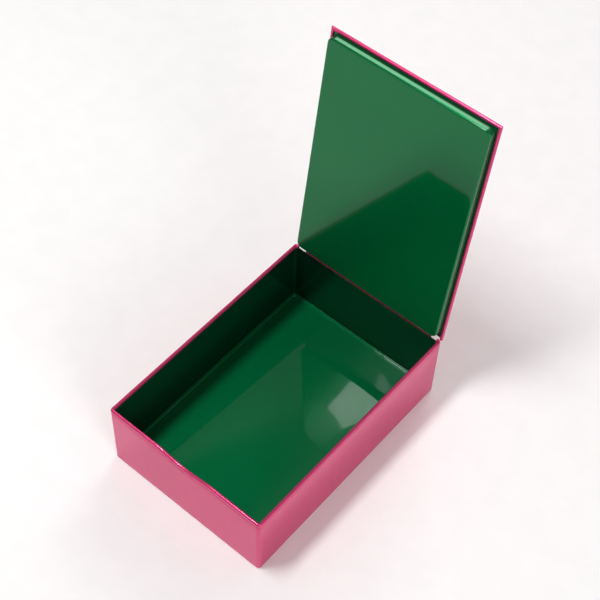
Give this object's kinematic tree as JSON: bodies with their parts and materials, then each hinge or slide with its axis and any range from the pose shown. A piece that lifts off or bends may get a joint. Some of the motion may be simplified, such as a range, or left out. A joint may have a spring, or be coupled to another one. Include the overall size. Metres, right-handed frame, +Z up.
{
  "type": "rectangular metal box",
  "caption": "Lacquered tinplate box with a rolled rim, a finger notch in the front wall and a hinged lid that carries a raised inner panel.",
  "frame": {"origin": "middle of the underside, on the plane that the box stands on", "axes": "+Z up, the notched front wall faces -Y, the hinge runs along X at +Y"},
  "size_m": [0.115, 0.1896, 0.2169],
  "materials": {
    "pink_lacquer": "glossy transparent lacquer on tinplate, green on the inside faces",
    "green_lacquer": "glossy",
    "bare_tinplate": "bright tinplate",
    "steel_wire": "drawn wire"
  },
  "bodies": {
    "box": {"body_wall": "pink_lacquer", "base_pan": "green_lacquer", "hinge_leaf_box": "pink_lacquer", "hinge_pin": "steel_wire"},
    "lid": {"lid_skin": "pink_lacquer", "lid_plug_panel": "green_lacquer", "hinge_leaf_lid": "bare_tinplate"}
  },
  "joints": [
    {"name": "lid_hinge", "type": "hinge", "parent": "box", "child": "lid", "pos_m": [0, 0.0842, 0.05165], "axis": [1, 0, 0], "range_deg": [0, 97]}
  ]
}
